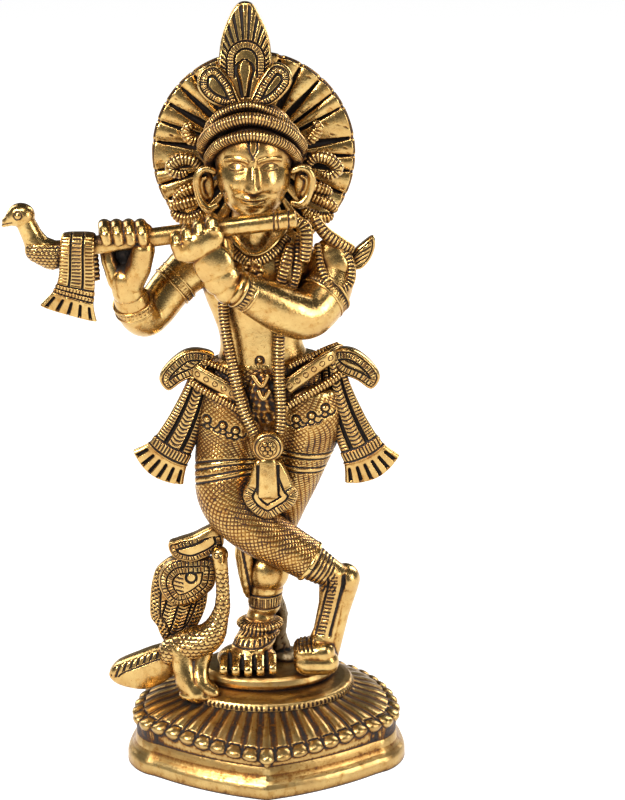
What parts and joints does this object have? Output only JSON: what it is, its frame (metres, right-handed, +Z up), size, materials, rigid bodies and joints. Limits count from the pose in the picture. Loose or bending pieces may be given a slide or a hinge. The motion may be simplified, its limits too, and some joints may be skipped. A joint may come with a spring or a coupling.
{
  "type": "hindu deity statue",
  "caption": "Cast brass figurine of a standing flute player with a halo and a peacock on a pointed lotus base; stands on a table or shelf.",
  "frame": {"origin": "centre of the base on its standing plane", "axes": "+Z up, -Y the way the figure faces, +X to a viewer's right when looking at its front"},
  "size_m": [0.1176, 0.0725, 0.2298],
  "materials": {
    "figure_brass": "polished antique with dark lacquer in the chased grooves",
    "base_brass": "polished antique, duller on the walls",
    "rough_brass": "rough as cast"
  },
  "bodies": {
    "root": {"back_strut": "rough_brass", "crest_feather": "figure_brass", "crossed_anklet": "figure_brass", "crossed_foot": "figure_brass", "crossed_leg": "figure_brass", "crown": "figure_brass", "flute": "figure_brass", "flute_bird": "figure_brass", "flute_cloth": "figure_brass", "foot_plate": "base_brass", "garland_drop": "figure_brass", "halo": "figure_brass", "head": "figure_brass", "hips": "figure_brass", "left_arm": "figure_brass", "left_armlet": "figure_brass", "left_bangle": "figure_brass", "left_crown_scroll": "figure_brass", "left_ear": "figure_brass", "left_garland_rope": "figure_brass", "left_hair_lock": "figure_brass", "left_hand": "figure_brass", "left_shawl_tail": "figure_brass", "left_shawl_wing": "figure_brass", "lotus_base": "base_brass", "lower_waist_band": "figure_brass", "medallion": "figure_brass", "necklace": "figure_brass", "peacock_body": "figure_brass", "peacock_fan_eye": "figure_brass", "peacock_fan_side": "figure_brass", "peacock_fan_top": "figure_brass", "peacock_legs": "figure_brass", "peacock_wing": "figure_brass", "right_arm": "figure_brass", "right_armlet": "figure_brass", "right_bangle": "figure_brass", "right_crown_scroll": "figure_brass", "right_ear": "figure_brass", "right_garland_rope": "figure_brass", "right_hair_lock": "figure_brass", "right_hand": "figure_brass", "right_shawl_tail": "figure_brass", "right_shawl_wing": "figure_brass", "rim_step": "base_brass", "shawl_tip": "figure_brass", "shoulder_shawl": "figure_brass", "standing_anklet": "figure_brass", "standing_foot": "figure_brass", "standing_leg": "figure_brass", "torso": "figure_brass", "upper_waist_band": "figure_brass"}
  },
  "joints": []
}
